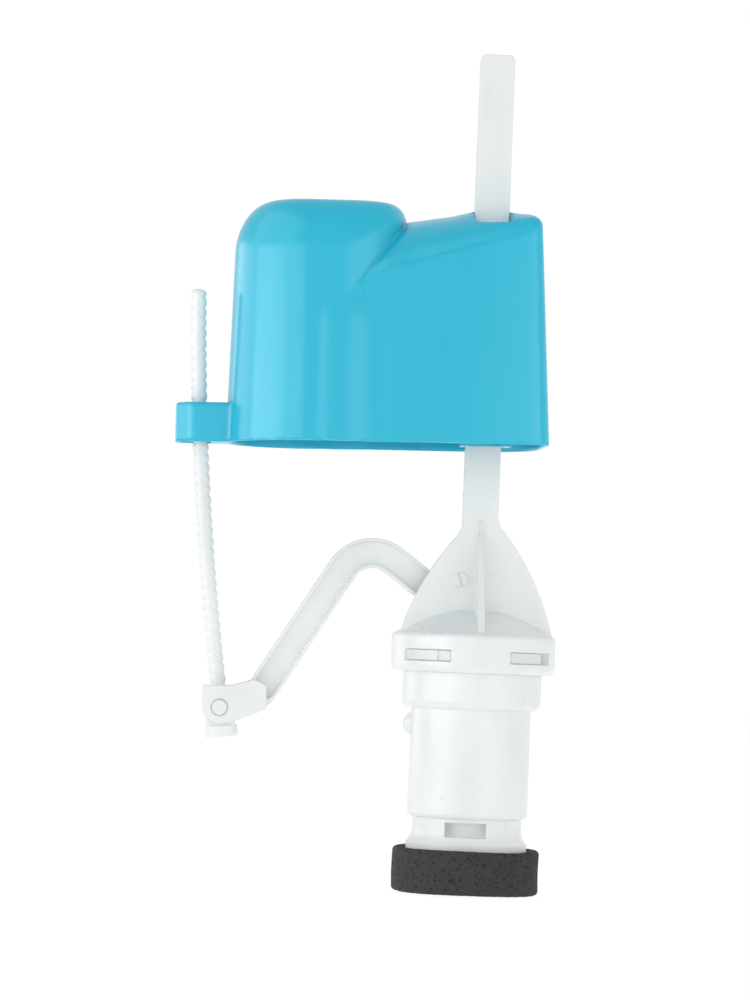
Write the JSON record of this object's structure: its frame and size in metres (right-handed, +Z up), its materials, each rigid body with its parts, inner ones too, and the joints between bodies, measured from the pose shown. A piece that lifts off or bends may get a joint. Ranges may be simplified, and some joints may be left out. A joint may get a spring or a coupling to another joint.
{
  "type": "float valve",
  "caption": "Bottom-inlet cistern float valve: barrel with foam seat, capped diaphragm, cranked lever, toothed level rod and a float cup that slides on a tall flat stem.",
  "frame": {"origin": "centre of the inlet's mating plane, level with the underside of the foam ring", "axes": "+Z up along the stem, +X away from the level rod, -Y towards the front fin that shows the pivot's head"},
  "size_m": [0.0972, 0.041, 0.2093],
  "materials": {
    "blue_plastic": "glossy injection-moulded polypropylene",
    "white_plastic": "satin white acetal, slightly translucent",
    "cream_plastic": "satin off-white plastic",
    "grey_plastic": "moulded grey plastic",
    "foam": "closed-cell foam with fine pits",
    "black_rubber": "moulded rubber",
    "steel": "drawn stainless wire"
  },
  "bodies": {
    "valve": {"valve_body": "white_plastic", "foam_ring": "foam", "inlet_washer": "black_rubber", "inlet_strainer": "grey_plastic", "flow_restrictor": "grey_plastic", "seat_nozzle": "grey_plastic", "seat_o_ring": "black_rubber", "metering_pin": "steel", "diaphragm": "black_rubber", "bayonet_ring": "cream_plastic", "bonnet_o_ring": "black_rubber", "bonnet": "white_plastic", "pilot_nozzle": "grey_plastic", "pivot_pin": "white_plastic"},
    "piston": {"diaphragm_plate": "grey_plastic"},
    "lever": {"lever_arm": "white_plastic", "pilot_seal": "black_rubber"},
    "rod": {"level_rod": "white_plastic"},
    "shoe": {"rod_shoe": "white_plastic"},
    "float": {"float_cup": "blue_plastic"}
  },
  "joints": [
    {"name": "rod_lift", "type": "slide", "parent": "valve", "child": "rod", "axis": [0, 0, 1], "range_m": [0, 0.013]},
    {"name": "level_adjust", "type": "slide", "parent": "rod", "child": "float", "axis": [0, 0, 1], "range_m": [0, 0.024]},
    {"name": "shoe_swing", "type": "hinge", "parent": "rod", "child": "shoe", "pos_m": [-0.071, 0, 0.1075], "axis": [0, 1, 0], "range_deg": [0, 5.26], "deforming": ["level_rod"]},
    {"name": "lever_pivot", "type": "hinge", "parent": "valve", "child": "lever", "pos_m": [-0.0045, 0, 0.0776], "axis": [0, 1, 0], "range_deg": [0, 11.66]},
    {"name": "diaphragm_travel", "type": "slide", "parent": "valve", "child": "piston", "axis": [0, 0, 1], "range_m": [-0.0015, 0], "deforming": ["diaphragm"]}
  ],
  "couplings": [
    {"joint": "shoe_swing", "follows": "rod_lift", "rad_per_m": 7.0484},
    {"joint": "lever_pivot", "follows": "rod_lift", "rad_per_m": 15.641},
    {"joint": "diaphragm_travel", "follows": "rod_lift", "ratio": -0.113}
  ]
}
